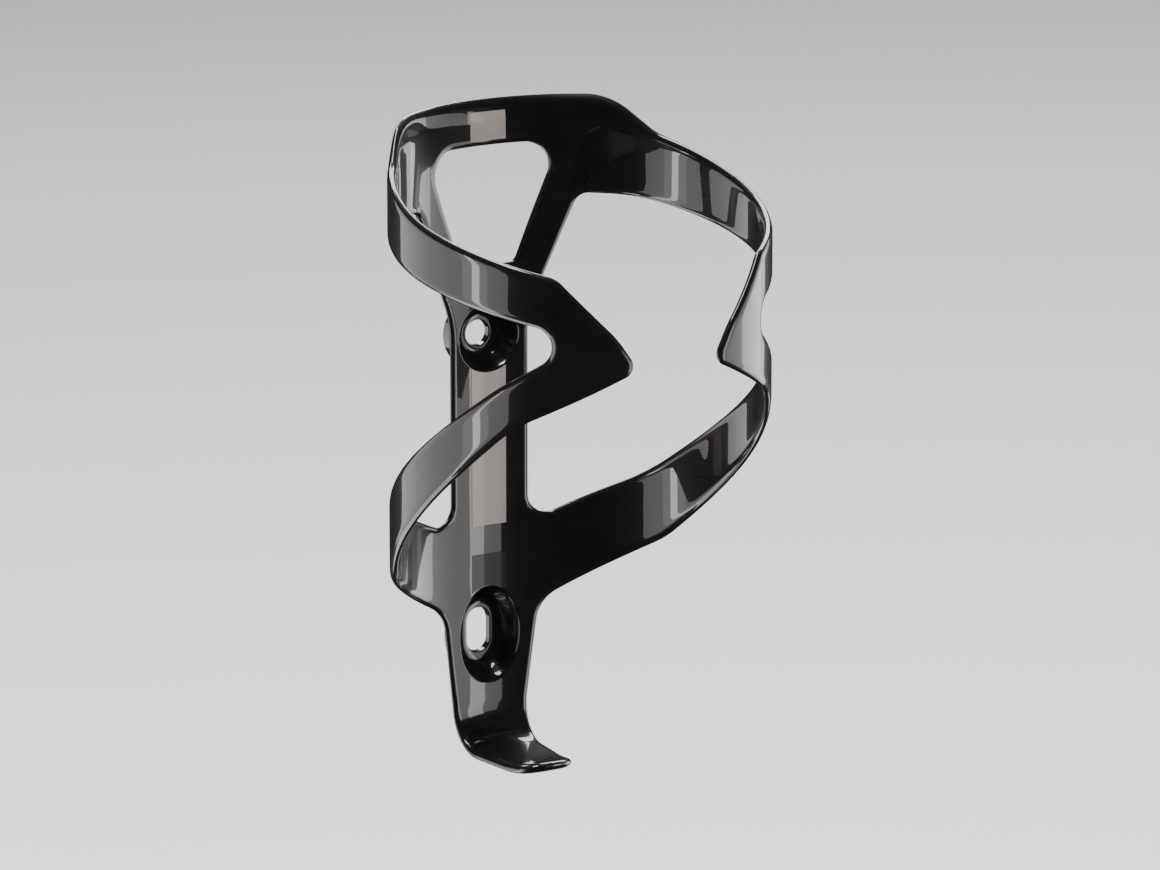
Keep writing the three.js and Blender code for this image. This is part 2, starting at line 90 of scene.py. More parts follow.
NOSE_ROWS = 8  # rows round half of a rounded edge
FACE_ROWS = 14  # rows across the flat of a band
LEAST_SLANT = 0.5  # sine of the flattest angle at which a row's nose is still spaced square to the edge
ON_EDGE = 1e-6  # a point this close to a free edge is taken to lie on it
EDGE_REACH = 0.01  # the finish looks no further from an edge than this


def degrees_round(angle):
    """Distance round the wall from the middle of the back, for an angle at the bottle's axis."""
    return BORE * np.radians(angle)


def smooth(x, low, high):
    """0 below low, 1 above high, and 3t^2 - 2t^3 between."""
    t = np.clip((x - low) / (high - low), 0, 1)
    return t * t * (3 - 2 * t)


class Edge:
    """A free edge in the developed plane (distance round, height), through corners (x, z, radius).

    Straight runs lead from corner to corner, and at each a circle's arc touches both runs: its ends lie
    radius / tan(half the corner's angle) from the corner. It holds the runs, the arcs and even samples."""

    STEP = 0.00005

    def __init__(self, *corners):
        at = np.array([corner[:2] for corner in corners], float)
        radius = np.array([corner[2] for corner in corners[1:-1]], float)
        to_last, to_next = at[:-2] - at[1:-1], at[2:] - at[1:-1]
        to_last /= np.linalg.norm(to_last, axis=1, keepdims=True)
        to_next /= np.linalg.norm(to_next, axis=1, keepdims=True)
        half = np.arccos(np.clip((to_last * to_next).sum(1), -1, 1)) / 2
        reach = (radius / np.tan(half))[:, None]
        middle = to_last + to_next
        middle /= np.linalg.norm(middle, axis=1, keepdims=True)
        self.radius, self.facing, self.spread = radius, -middle, np.pi / 2 - half
        self.centre = at[1:-1] + middle * (radius / np.sin(half))[:, None]
        self.starts = np.vstack([at[:1], at[1:-1] + to_next * reach])
        self.ends = np.vstack([at[1:-1] + to_last * reach, at[-1:]])
        pieces = []
        for i, (start, end) in enumerate(zip(self.starts, self.ends)):
            count = max(int(np.linalg.norm(end - start) / self.STEP), 1)
            pieces.append(start + (end - start) * np.linspace(0, 1, count, endpoint=False)[:, None])
            if i < len(radius):
                pieces.append(self._arc(i))
        self.samples = np.vstack(pieces + [at[-1:]])
        self.lengths = np.append(0, np.cumsum(np.linalg.norm(np.diff(self.samples, axis=0), axis=1)))
        self.along = np.gradient(self.samples, self.lengths, axis=0)
        self.along /= np.linalg.norm(self.along, axis=1, keepdims=True)

    def _arc(self, i):
        """Samples of one arc: the circle's centre plus its radius turned from one end to the other."""
        turn = np.sign(np.cross(self.ends[i] - self.centre[i], self.starts[i + 1] - self.centre[i]))
        count = max(int(2 * self.spread[i] * self.radius[i] / self.STEP), 2)
        sweep = turn * np.linspace(-1, 1, count, endpoint=False)
        angle = np.arctan2(*self.facing[i][::-1]) + sweep * self.spread[i]
        return self.centre[i] + self.radius[i] * np.stack([np.cos(angle), np.sin(angle)], 1)

    def place(self, point):
        """Length along the edge of the sample nearest to a point."""
        return self.lengths[np.argmin(np.linalg.norm(self.samples - point, axis=1))]

    def at(self, length):
        """Points at some lengths along the edge, with the edge's directions there."""
        points = [np.interp(length, self.lengths, self.samples[:, k]) for k in (0, 1)]
        along = [np.interp(length, self.lengths, self.along[:, k]) for k in (0, 1)]
        return np.stack(points, 1), np.stack(along, 1)

    def between(self, first, last, spans):
        """Even points, with directions, from the place nearest to first to the place nearest to last."""
        return self.at(np.linspace(self.place(first), self.place(last), spans + 1))

    def distance(self, points):
        """Distance of points from the edge: to each run's nearest point, and to each arc that faces them."""
        run = self.ends - self.starts
        off = points[..., None, :] - self.starts
        share = np.clip((off * run).sum(-1) / np.maximum((run * run).sum(-1), 1e-18), 0, 1)
        to_runs = np.linalg.norm(off - share[..., None] * run, axis=-1).min(-1)
        out = points[..., None, :] - self.centre
        reach = np.linalg.norm(out, axis=-1)
        faced = (out * self.facing).sum(-1) >= reach * np.cos(self.spread)
        to_arcs = np.where(faced, np.abs(reach - self.radius), np.inf).min(-1, initial=np.inf)
        return np.minimum(to_runs, to_arcs)


window_edge = Edge(
    (0, WINDOW_TOP),
    (0.0159, WINDOW_TOP, 0.005),
    (0.0062, WINDOW_FOOT, 0.002),
    (0, WINDOW_FOOT),
)
outer_edge = Edge(  # hoop, shoulder, upper arm, crown and front of the thumb, tip, heel, hip, throat, neck
    (0, HOOP_TOP),
    (0.0256, HOOP_TOP, 0.015),
    (degrees_round(55.4), UPPER_BOLT + 0.0427, 0.015),
    (degrees_round(92.9), UPPER_BOLT + 0.0353, 0.150),
    (degrees_round(141.7), UPPER_BOLT + 0.0279, 0.005),
    (degrees_round(160.3), UPPER_BOLT + 0.0155, 0.025),
    (degrees_round(166.9), UPPER_BOLT + 0.0089, 0.0026),
    (degrees_round(129), UPPER_BOLT - 0.0029, 0.030),
    (degrees_round(59.2), LOWER_BOLT + 0.0205, 0.025),
    (0.0115, LOWER_BOLT + 0.0062, 0.008),
    (0.0089, LOWER_BOLT - 0.0144),
)
side_edge = Edge(  # spine, strut, underside of the upper arm, notch, top of the lower arm, crotch, spine
    (SPINE_HALF, SPINE_NECK),
    (SPINE_HALF, UPPER_BOLT + 0.0042, 0.020),
    (0.0198, UPPER_BOLT + 0.0293, 0.003),
    (degrees_round(49.6), UPPER_BOLT + 0.0290, 0.060),
    (degrees_round(151.1), UPPER_BOLT + 0.0159, 0.0041),
    (degrees_round(123.9), UPPER_BOLT + 0.005, 0.060),
    (degrees_round(52.6), LOWER_BOLT + 0.0342, 0.050),
    (SPINE_HALF, LOWER_BOLT + 0.0233, 0.0038),
    (SPINE_HALF, SPINE_FOOT),
)
spine_side = Edge((SPINE_HALF, SPINE_FOOT), (SPINE_HALF, SPINE_NECK))
free_edges = (window_edge, outer_edge, side_edge, spine_side)


def edge_gap(points):
    """Distance from the nearest free edge of the moulding, whose left half mirrors its right."""
    folded = np.stack([np.abs(points[..., 0]), points[..., 1]], -1)
    gap = np.minimum.reduce([edge.distance(folded) for edge in free_edges])
    return np.where(gap < ON_EDGE, 0, gap)


def rolled(points, depth):
    """Developed points rolled on the bore: angle = distance round / bore, radius = bore + depth + the lip's
    flare, which grows from its crease to the hoop's top as a power of the height."""
    across, z = np.abs(points[..., 0]), points[..., 1]
    share = np.clip(1 - outer_edge.distance(np.stack([across, z], -1)) / LIP_HEIGHT, 0, 1)
    share = share * (z > UPPER_BOLT)
    radius = BORE + depth + LIP_FLARE * share**LIP_CURVE * (1 - smooth(across, *LIP_ENDS))
    turn = points[..., 0] / BORE
    return np.stack([radius * np.sin(turn), radius * np.cos(turn) - AXIS_TO_FRAME, z], -1)


def nose_radius(points):
    """Half the wall's thickness at a free edge: thinner along the spine and neck than elsewhere."""
    across, z = np.abs(points[..., 0]), points[..., 1]
    arms = np.maximum(smooth(across, *ARM_BLEND), smooth(z, *STRUT_BLEND))
    return SPINE_EDGE / 2 + (WALL - SPINE_EDGE) / 2 * arms


def swell(points, gap):
    """How far the back stands out along the spine and neck: a ridge that ends at their sides."""
    across, z = np.abs(points[..., 0]), points[..., 1]
    side = SPINE_HALF - SPINE_EDGE / 2 - across
    ridge = smooth(np.minimum(side, gap - SPINE_EDGE / 2), 0, SWELL_WIDTH)
    return (SPINE_DEPTH - SPINE_EDGE) * ridge * (1 - smooth(z, *SWELL_TOP))


def nose(gap, a):
    """Half the thickness at a gap g from an edge. The nose is half of an ellipse, a high and a x reach deep:
    a x sqrt(1 - (1 - g / (a x reach))^2), so the faces meet at the edge and are flat beyond the nose."""
    share = np.clip(gap / (a * NOSE_REACH), 0, 1)
    return a * np.sqrt(share * (2 - share))


def thick(points):
    """Depths of the wall's two faces, and which points are on a free edge."""
    gap = edge_gap(points)
    a = nose_radius(points)
    half = nose(gap, a)
    return a - half, a + half + swell(points, gap), gap == 0


ROUND_NOSE = NOSE_REACH * (1 - np.cos(np.linspace(0, np.pi / 2, NOSE_ROWS + 1)))


def slant(line, along):
    """Sine of the angle at which a row of points leaves an edge, but no less than LEAST_SLANT."""
    return np.maximum(np.abs(line[..., 0] * along[..., 1] - line[..., 1] * along[..., 0]), LEAST_SLANT)


def rows(first, first_along, last, last_along, radius=nose_radius):
    """Rows of points from one edge to another: close together over each nose, then even between.

    Point k of a nose stands 1 - cos(angle k) of its depth from the edge, measured square to the edge."""
    line = last - first
    width = np.linalg.norm(line, axis=-1, keepdims=True)
    line = line / width
    head = radius(first)[..., None] * ROUND_NOSE / slant(line, first_along)[..., None]
    tail = width - radius(last)[..., None] * ROUND_NOSE[::-1] / slant(line, last_along)[..., None]
    share = np.linspace(0, 1, FACE_ROWS + 1)[1:-1]
    flat = head[..., -1:] * (1 - share) + tail[..., :1] * share
    steps = np.concatenate([head, flat, tail], -1)
    return first[..., None, :] + steps[..., None] * line[..., None, :]


def cut_line(first_edge, first, last_edge, last):
    """The row of points where two pieces meet, from one free edge to another."""
    first_point, first_along = first_edge.between(first, first, 0)
    last_point, last_along = last_edge.between(last, last, 0)
    return rows(first_point, first_along, last_point, last_along)[0]


def band(low, high):
    """The grid between two edges, each given as its points and directions."""
    return rows(*low, *high)


def mirrored(grid):
    """The left-hand copy of a grid."""
    return grid * (-1, 1)


def quads_of(index):
    """The cells of a grid of point numbers."""
    return np.stack([index[:-1, :-1], index[1:, :-1], index[1:, 1:], index[:-1, 1:]], -1).reshape(-1, 4)


def welded(grids):
    """One plane mesh from several grids, all turned the same way round: points closer than a micrometre
    become one, a cell that loses a corner becomes a triangle and one that loses two is dropped."""
    cells, points, count = [], [], 0
    for grid in grids:
        flat = grid.reshape(-1, 2)
        index = np.arange(len(flat)).reshape(grid.shape[:2])
        quads = quads_of(index)
        one, other = flat[quads[:, 2]] - flat[quads[:, 0]], flat[quads[:, 3]] - flat[quads[:, 1]]
        if np.cross(one, other).sum() < 0:
            quads = quads[:, ::-1]
        cells.append(quads + count)
        points.append(flat)
        count += len(flat)
    points, cells = np.vstack(points), np.vstack(cells)
    _, first, same = np.unique(np.round(points * 1e6), axis=0, return_index=True, return_inverse=True)
    cells = same.reshape(-1)[cells]
    points = points[first]
    repeats = cells == np.roll(cells, 1, axis=1)
    quads = cells[repeats.sum(1) == 0]
    short = repeats.sum(1) == 1
    triangles = cells[short][~repeats[short]].reshape(-1, 3)
    return points, quads, triangles


def rim_of(quads, triangles):
    """Directed edges that belong to one cell only."""
    sides = [np.stack([cells, np.roll(cells, -1, axis=1)], -1) for cells in (quads, triangles)]
    pairs = np.vstack([side.reshape(-1, 2) for side in sides])
    _, index, uses = np.unique(np.sort(pairs, axis=1), axis=0, return_index=True, return_counts=True)
    return pairs[index[uses == 1]]


def signed_volume(vertices, faces):
    """Sum over the faces, as fans of triangles, of the six-fold volume that each makes with the origin."""
    total = 0.0
    for cells in faces:
        for k in range(1, cells.shape[1] - 1):
            a, b, c = (vertices[cells[:, j]] for j in (0, k, k + 1))
            total += np.einsum("ij,ij->", a, np.cross(b, c))
    return total


def make_mesh(name, vertices, faces, chart, gap):
    """A smooth mesh with its faces out. Its UV map is the developed wall in decimetres, its attribute
    edge_gap is the distance to the nearest free edge, and edges that turn over 40 degrees stay sharp."""
    used = np.unique(np.concatenate([cells.ravel() for cells in faces]))
    renumber = np.full(len(vertices), -1)
    renumber[used] = np.arange(len(used))
    faces = [renumber[cells] for cells in faces if len(cells)]
    vertices, chart, gap = vertices[used], chart[used], gap[used]
    if signed_volume(vertices, faces) < 0:
        faces = [cells[:, ::-1] for cells in faces]
    mesh = bpy.data.meshes.new(name)
    mesh.from_pydata(vertices.tolist(), [], [cell for cells in faces for cell in cells.tolist()])
    corners = np.empty(len(mesh.loops), int)
    mesh.loops.foreach_get("vertex_index", corners)
    mesh.uv_layers.new(name="wall").data.foreach_set("uv", (chart[corners] * 10).ravel())
    mesh.attributes.new("edge_gap", "FLOAT", "POINT").data.foreach_set("value", gap.astype(np.float32))
    mesh.shade_smooth()
    mesh.set_sharp_from_angle(angle=np.radians(40))
    piece = bpy.data.objects.new(name, mesh)
    bpy.context.scene.collection.objects.link(piece)
    return piece


def shell(name, grids, roll=rolled, thickness=thick):
    """A closed shell from grids of the developed plane: an inner and an outer sheet that meet along free
    edges and are joined by a strip of faces along cuts."""
    points, quads, triangles = welded(grids)
    inner_depth, outer_depth, on_edge = thickness(points)
    count = len(points)
    vertices = np.vstack([roll(points, inner_depth), roll(points, outer_depth)])
    outer = np.where(on_edge, np.arange(count), np.arange(count) + count)
    rim = rim_of(quads, triangles)
    strip = np.stack([rim[:, 1], rim[:, 0], outer[rim[:, 0]], outer[rim[:, 1]]], 1)
    closed = on_edge[rim]
    left = strip[~closed[:, 0] & closed[:, 1]][:, [0, 1, 2]]
    right = strip[closed[:, 0] & ~closed[:, 1]][:, [0, 1, 3]]
    faces = [
        np.vstack([quads, outer[quads][:, ::-1], strip[~closed.any(1)]]),
        np.vstack([triangles, outer[triangles][:, ::-1], left, right]),
    ]
    gap = np.minimum(edge_gap(points), EDGE_REACH)
    return make_mesh(name, vertices, faces, np.vstack([points, points]), np.append(gap, gap))


def near(x, z):
    """A developed point to cut at, as an array."""
    return np.array([x, z])


def carbon_laminate():
    """Near-black carbon fibre under a deep clear coat. Noise drawn out along the wall's own chart gives the
    faint streaks of straight fibres, cloudy noise varies the resin, and the coat carries a slow ripple from
    the mould with dust-fine specks. Free edges are rubbed a little rougher."""
    material = bpy.data.materials.new("clear_coated_carbon")
    material.use_nodes = True
    nodes, links = material.node_tree.nodes, material.node_tree.links
    shader = nodes["Principled BSDF"]
    shader.inputs["IOR"].default_value = 1.5
    shader.inputs["Specular IOR Level"].default_value = 0.12
    shader.inputs["Coat Weight"].default_value = 1.0
    shader.inputs["Coat Roughness"].default_value = 0.015
    shader.inputs["Coat IOR"].default_value = 1.52

    chart = nodes.new("ShaderNodeUVMap")
    chart.uv_map = "wall"
    lay = nodes.new("ShaderNodeMapping")
    lay.inputs["Rotation"].default_value = (0, 0, np.radians(20))
    lay.inputs["Scale"].default_value = (6.0, 260.0, 1.0)
    links.new(chart.outputs["UV"], lay.inputs["Vector"])
    fibres = nodes.new("ShaderNodeTexNoise")
    fibres.inputs["Scale"].default_value = 1.0
    fibres.inputs["Detail"].default_value = 4.0
    links.new(lay.outputs["Vector"], fibres.inputs["Vector"])

    place = nodes.new("ShaderNodeTexCoord")
    clouds = nodes.new("ShaderNodeTexNoise")
    clouds.inputs["Scale"].default_value = 90.0
    clouds.inputs["Detail"].default_value = 5.0
    links.new(place.outputs["Object"], clouds.inputs["Vector"])
    blend = nodes.new("ShaderNodeMath")
    blend.operation = "MULTIPLY"
    links.new(fibres.outputs["Fac"], blend.inputs[0])
    links.new(clouds.outputs["Fac"], blend.inputs[1])
    tone = nodes.new("ShaderNodeValToRGB")
    tone.color_ramp.elements[0].color = (0.0022, 0.0022, 0.0023, 1)
    tone.color_ramp.elements[0].position = 0.12
    tone.color_ramp.elements[1].color = (0.0048, 0.0047, 0.0046, 1)
    tone.color_ramp.elements[1].position = 0.42
    links.new(blend.outputs[0], tone.inputs["Fac"])
    links.new(tone.outputs["Color"], shader.inputs["Base Color"])

    gap = nodes.new("ShaderNodeAttribute")
    gap.attribute_name = "edge_gap"
    rubbed = nodes.new("ShaderNodeMapRange")
    rubbed.inputs["From Min"].default_value = 0.0
    rubbed.inputs["From Max"].default_value = 0.0012
    rubbed.inputs["To Min"].default_value = 0.42
    rubbed.inputs["To Max"].default_value = 0.30
    links.new(gap.outputs["Fac"], rubbed.inputs["Value"])
    grain = nodes.new("ShaderNodeMath")
    grain.operation = "MULTIPLY_ADD"
    grain.inputs[1].default_value = 0.04
    links.new(fibres.outputs["Fac"], grain.inputs[0])
    links.new(rubbed.outputs["Result"], grain.inputs[2])
    links.new(grain.outputs[0], shader.inputs["Roughness"])

    ripple = nodes.new("ShaderNodeTexNoise")
    ripple.inputs["Scale"].default_value = 75.0
    ripple.inputs["Detail"].default_value = 1.0
    links.new(place.outputs["Object"], ripple.inputs["Vector"])
    specks = nodes.new("ShaderNodeTexNoise")
    specks.inputs["Scale"].default_value = 2600.0
    specks.inputs["Detail"].default_value = 1.0
    links.new(place.outputs["Object"], specks.inputs["Vector"])
    coat_low = nodes.new("ShaderNodeBump")
    coat_low.inputs["Strength"].default_value = 0.5
    coat_low.inputs["Distance"].default_value = 0.00016
    links.new(ripple.outputs["Fac"], coat_low.inputs["Height"])
    coat_fine = nodes.new("ShaderNodeBump")
    coat_fine.inputs["Strength"].default_value = 0.2
    coat_fine.inputs["Distance"].default_value = 0.000003
    links.new(specks.outputs["Fac"], coat_fine.inputs["Height"])
    links.new(coat_low.outputs["Normal"], coat_fine.inputs["Normal"])
    links.new(coat_fine.outputs["Normal"], shader.inputs["Coat Normal"])
    return material


carbon = carbon_laminate()


def fit(piece, material, slot, *nodes):
    """A finished piece: its material, the CAD body it rides on and the nodes it stands for. The slot is not
    used.
    """
    piece.data.materials.append(material)
    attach(piece, "root")
    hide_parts(*nodes)


HOOP_COLUMNS = (70, 60)  # over the window, and along the underside of the arm
STRUT_LEANS = (0.50, 0.34)  # how far rows lean out as they rise from a strut's two sides, to stay on it
strut_top = cut_line(
    window_edge, near(0.0131, WINDOW_TOP - 0.0079),
    side_edge, near(0.0182, UPPER_BOLT + 0.0258),
)
shoulder = cut_line(
    side_edge, near(degrees_round(49.6) + 0.0011, UPPER_BOLT + 0.0290),
    outer_edge, near(degrees_round(55.4) + 0.001, UPPER_BOLT + 0.0427),
)
over_window = window_edge.between(near(0, WINDOW_TOP), strut_top[0], HOOP_COLUMNS[0])
under_arm = side_edge.between(strut_top[-1], shoulder[0], HOOP_COLUMNS[1])
strut_across = (strut_top[-1] - strut_top[0]) / np.linalg.norm(strut_top[-1] - strut_top[0])
hoop_low = np.vstack([over_window[0], strut_top[1:-1], under_arm[0]])
hoop_low_along = np.vstack([over_window[1], np.tile(strut_across, (len(strut_top) - 2, 1)), under_arm[1]])
hoop_share = np.append(0, np.cumsum(np.linalg.norm(np.diff(hoop_low, axis=0), axis=1)))
hoop_share /= hoop_share[-1]
strut_first, strut_last = HOOP_COLUMNS[0], HOOP_COLUMNS[0] + len(strut_top) - 1
landings = [
    outer_edge.place(end + near(lean, 1) * (HOOP_TOP - end[1]))
    for end, lean in zip((strut_top[0], strut_top[-1]), STRUT_LEANS)
]
hoop_reach = np.interp(
    hoop_share,
    [0, hoop_share[strut_first], hoop_share[strut_last], 1],
    [0, *landings, outer_edge.place(shoulder[-1])],
)
hoop_half = rows(hoop_low, hoop_low_along, *outer_edge.at(hoop_reach))
top_hoop = shell("hoop", [hoop_half, mirrored(hoop_half)])
fit(top_hoop, carbon, "clear_coated_carbon", "top_hoop")

# ---------------------------------------------------------------- struts
# Two flat straps splay up from the head of the spine to the hoop's corners, one each side of the window.
# They are laid up in one with the hoop, and both of their edges are bullnosed.
STRUT_COLUMNS = 50
strut_foot = cut_line(window_edge, near(0.0049, WINDOW_FOOT), side_edge, near(0.0115, UPPER_BOLT + 0.010))
strut = band(
    window_edge.between(strut_top[0], strut_foot[0], STRUT_COLUMNS),
    side_edge.between(strut_top[-1], strut_foot[-1], STRUT_COLUMNS),
)
for name, grid in (("right", strut), ("left", mirrored(strut))):
    fit(shell(f"{name}_window_strut", [grid]), carbon, "clear_coated_carbon", f"{name}_strut")

# ---------------------------------------------------------------- upper arms
# From each shoulder of the hoop a springy band runs round the side of the bottle and a little down, to the
# thumb. Its edges are bullnosed.
ARM_COLUMNS = 120
thumb_top = cut_line(
    side_edge, near(degrees_round(141.7) - 0.007, UPPER_BOLT + 0.0191),
    outer_edge, near(degrees_round(141.7) - 0.0045, UPPER_BOLT + 0.0290),
)
upper_arm = band(
    side_edge.between(shoulder[0], thumb_top[0], ARM_COLUMNS),
    outer_edge.between(shoulder[-1], thumb_top[-1], ARM_COLUMNS),
)
for name, grid in (("right", upper_arm), ("left", mirrored(upper_arm))):
    fit(shell(f"{name}_arm_upper", [grid]), carbon, "clear_coated_carbon", f"{name}_upper_arm")

# ---------------------------------------------------------------- thumbs
# Each arm folds back on itself in a wide sprung thumb, whose pointed tip snaps into the bottle's waist. A
# notch behind it lets it give.
THUMB_COLUMNS = 220
arm_tip = cut_line(
    side_edge, near(degrees_round(123.9) + 0.003, UPPER_BOLT + 0.007),
    outer_edge, near(degrees_round(129) + 0.0052, UPPER_BOLT - 0.0001),
)
thumb = band(
    side_edge.between(thumb_top[0], arm_tip[0], THUMB_COLUMNS),
    outer_edge.between(thumb_top[-1], arm_tip[-1], THUMB_COLUMNS),
)
for name, grid in (("right", thumb), ("left", mirrored(thumb))):
    fit(shell(f"{name}_sprung_thumb", [grid]), carbon, "clear_coated_carbon", f"{name}_thumb")

# ---------------------------------------------------------------- lower arms
# From the heel of each thumb a second band runs back and down to the yoke at the foot of the spine, in one
# with both.
arm_root = cut_line(
    side_edge, near(degrees_round(52.6) - 0.006, LOWER_BOLT + 0.0314),
    outer_edge, near(degrees_round(59.2) - 0.0052, LOWER_BOLT + 0.0178),
)
lower_arm = band(
    side_edge.between(arm_tip[0], arm_root[0], ARM_COLUMNS),
    outer_edge.between(arm_tip[-1], arm_root[-1], ARM_COLUMNS),
)
for name, grid in (("right", lower_arm), ("left", mirrored(lower_arm))):
    fit(shell(f"{name}_arm_lower", [grid]), carbon, "clear_coated_carbon", f"{name}_lower_arm")

# ---------------------------------------------------------------- yoke
# The yoke joins both lower arms, the spine and the neck in one saddle-like web. The spine's ridge runs on
# down its back, and it meets the neck along a line that bends down to the throat on each side.
YOKE_COLUMNS = 70
HALF_ROWS = NOSE_ROWS + FACE_ROWS // 2  # rows from the middle of a cut to its end
NECK_TOP = LOWER_BOLT + 0.0135
YOKE_BOW = 1.3  # sideways bow of the rows, as a share of how far they lean
BOW_END = 0.2  # share of the crotch and hip over which the bow fades out
THROAT = near(0.0119, LOWER_BOLT + 0.005)
throat = outer_edge.between(THROAT, THROAT, 0)
neck_shoulder = near(0.75 * SPINE_HALF, NECK_TOP)
LEVEL_ROWS = 5  # points of the cut's level half, before it turns down


def level_cut(half, z):
    """A row of points straight across the spine or neck, from one side to the other."""
    return rows(near(-half, z), near(0, 1), near(half, z), near(0, 1))


def neck_top_line():
    """Half of the cut between yoke and neck: level from the middle, then straight to the throat, with its
    last rows close together over the nose."""
    slope = (throat[0][0] - neck_shoulder) / np.linalg.norm(throat[0][0] - neck_shoulder)
    depth = nose_radius(throat[0])[0] * ROUND_NOSE[::-1]
    last = throat[0][0] - slope * (depth / slant(slope, throat[1][0]))[:, None]
    level = np.linspace(near(0, NECK_TOP), neck_shoulder, LEVEL_ROWS, endpoint=False)
    down = np.linspace(neck_shoulder, last[0], FACE_ROWS // 2 - LEVEL_ROWS, endpoint=False)
    return np.vstack([level, down, last])


neck_top = neck_top_line()
spine_foot = level_cut(SPINE_HALF, SPINE_FOOT)
crotch = side_edge.between(near(SPINE_HALF, SPINE_FOOT), arm_root[0], YOKE_COLUMNS)
hip = outer_edge.between(neck_top[-1], arm_root[-1], YOKE_COLUMNS)
level = np.tile(near(1, 0), (HALF_ROWS, 1))
yoke_high = np.vstack([spine_foot[HALF_ROWS:-1], crotch[0]])
yoke_low = np.vstack([neck_top[:-1], hip[0]])
yoke_half = rows(yoke_high, np.vstack([level, crotch[1]]), yoke_low, np.vstack([level, hip[1]]))


def bowed(grid, bow):
    """Rows bent sideways by bow x t(1 - t) at a share t of their height, so that they set out straight down
    beside the crotch and stay on the web."""
    way = (grid[..., 1] - grid[:, :1, 1]) / (grid[:, -1:, 1] - grid[:, :1, 1])
    return grid - np.stack([bow[:, None] * way * (1 - way), np.zeros(way.shape)], -1)


fade = 1 - smooth(np.linspace(0, 1, YOKE_COLUMNS + 1), 0, BOW_END)
bow = YOKE_BOW * np.append(np.ones(HALF_ROWS), fade) * (yoke_low - yoke_high)[:, 0]
yoke_half = bowed(yoke_half, bow)
fit(shell("yoke_web", [yoke_half, mirrored(yoke_half)]), carbon, "clear_coated_carbon", "yoke")

# ---------------------------------------------------------------- spine
# The spine lies along the frame tube. Its sides are thin and round, its back swells for stiffness, and the
# upper bolt cup is let into its head, where a fillet rises round the boss behind.
CUP_RING = 0.0075  # the cup's face blends into the wall here
FILLET = 0.0014  # round the boss, behind
SPINE_COLUMNS = 60
RING_ROWS = 16
NOSE_SHARE = 0.6  # the most of a row's length that its nose may take
SIDE_COLUMNS, HEAD_COLUMNS, WINDOW_COLUMNS = 10, 40, 24  # round the head, from the waist to the window
SPINE_WAIST = UPPER_BOLT - 0.012


def along_bolt(points, height):
    """Developed points seen along the bolt, from the middle of a cup: x = bore * sin(distance / bore)."""
    return np.stack([BORE * np.sin(points[..., 0] / BORE), points[..., 1] - height], -1)


def cup_ring(points, height, travel):
    """Points of a cup's ring towards some others. Seen along the bolt the ring is an ellipse, as wide as
    CUP_RING and higher by travel: x and z shares of its half axes are scaled to a length of one."""
    axes = np.array([CUP_RING, CUP_RING + travel])
    share = along_bolt(points, height) / axes
    ring = axes * share / np.linalg.norm(share, axis=1, keepdims=True)
    return np.stack([BORE * np.arcsin(ring[:, 0] / BORE), ring[:, 1] + height], -1)


def ring_grid(loop, along, height, travel):
    """Rows from a closed outer loop in to a cup's ring: close together over the noses, then even."""
    inner = cup_ring(loop, height, travel)
    line = inner - loop
    width = np.linalg.norm(line, axis=1, keepdims=True)
    line = line / width
    depth = nose_radius(loop)[:, None] * ROUND_NOSE
    depth = np.minimum(depth / slant(line, along)[:, None], NOSE_SHARE * width)
    share = np.linspace(0, 1, RING_ROWS + 1)[1:]
    steps = np.hstack([depth, depth[:, -1:] * (1 - share) + width * share])
    return loop[:, None] + steps[..., None] * line[:, None], inner


def bossed(height, travel):
    """Depths as thick() gives them, with the back raised in a quarter-round fillet up to the boss."""

    def depths(points):
        inner, outer, on_edge = thick(points)
        ring = cup_ring(points, height, travel)
        reach = np.linalg.norm(along_bolt(points, height) - along_bolt(ring, height), axis=1)
        share = np.clip(1 - reach / FILLET, 0, 1)
        return inner, outer + FILLET * (1 - np.sqrt(1 - share**2)), on_edge

    return depths


def joined(*runs):
    """A closed loop from runs of (points, directions), each of which starts where the last one ended."""
    points = np.vstack([run[0][:-1] for run in runs] + [runs[0][0][:1]])
    along = np.vstack([run[1][:-1] for run in runs] + [runs[0][1][:1]])
    return points, along


def straight(points):
    """A run of points along a cut, with the cut's direction."""
    direction = (points[-1] - points[0]) / np.linalg.norm(points[-1] - points[0])
    return points, np.tile(direction, (len(points), 1))


def turned_round(run):
    """A run taken from its other end."""
    return run[0][::-1], run[1][::-1]


def left_of(run):
    """A run's mirror image, from its other end, so that a loop goes on round."""
    return turned_round((mirrored(run[0]), mirrored(run[1])))


waist = level_cut(SPINE_HALF, SPINE_WAIST)
heights = np.linspace(SPINE_FOOT, SPINE_WAIST, SPINE_COLUMNS + 1)
stem = np.stack(np.broadcast_arrays(waist[:, 0], heights[:, None]), -1)
straight_side = np.linspace(near(SPINE_HALF, SPINE_WAIST), near(SPINE_HALF, SPINE_NECK), SIDE_COLUMNS + 1)
head_side = side_edge.between(near(SPINE_HALF, SPINE_NECK), strut_foot[-1], HEAD_COLUMNS)
head_foot = window_edge.between(strut_foot[0], near(0, WINDOW_FOOT), WINDOW_COLUMNS)
right_half = [straight(straight_side), head_side, straight(strut_foot[::-1]), head_foot]
head_loop, head_along = joined(straight(waist), *right_half, *[left_of(run) for run in right_half[::-1]])
head, upper_ring = ring_grid(head_loop, head_along, UPPER_BOLT, 0)
spine = shell("spine_beam", [stem, head], thickness=bossed(UPPER_BOLT, 0))
fit(spine, carbon, "clear_coated_carbon", "spine")

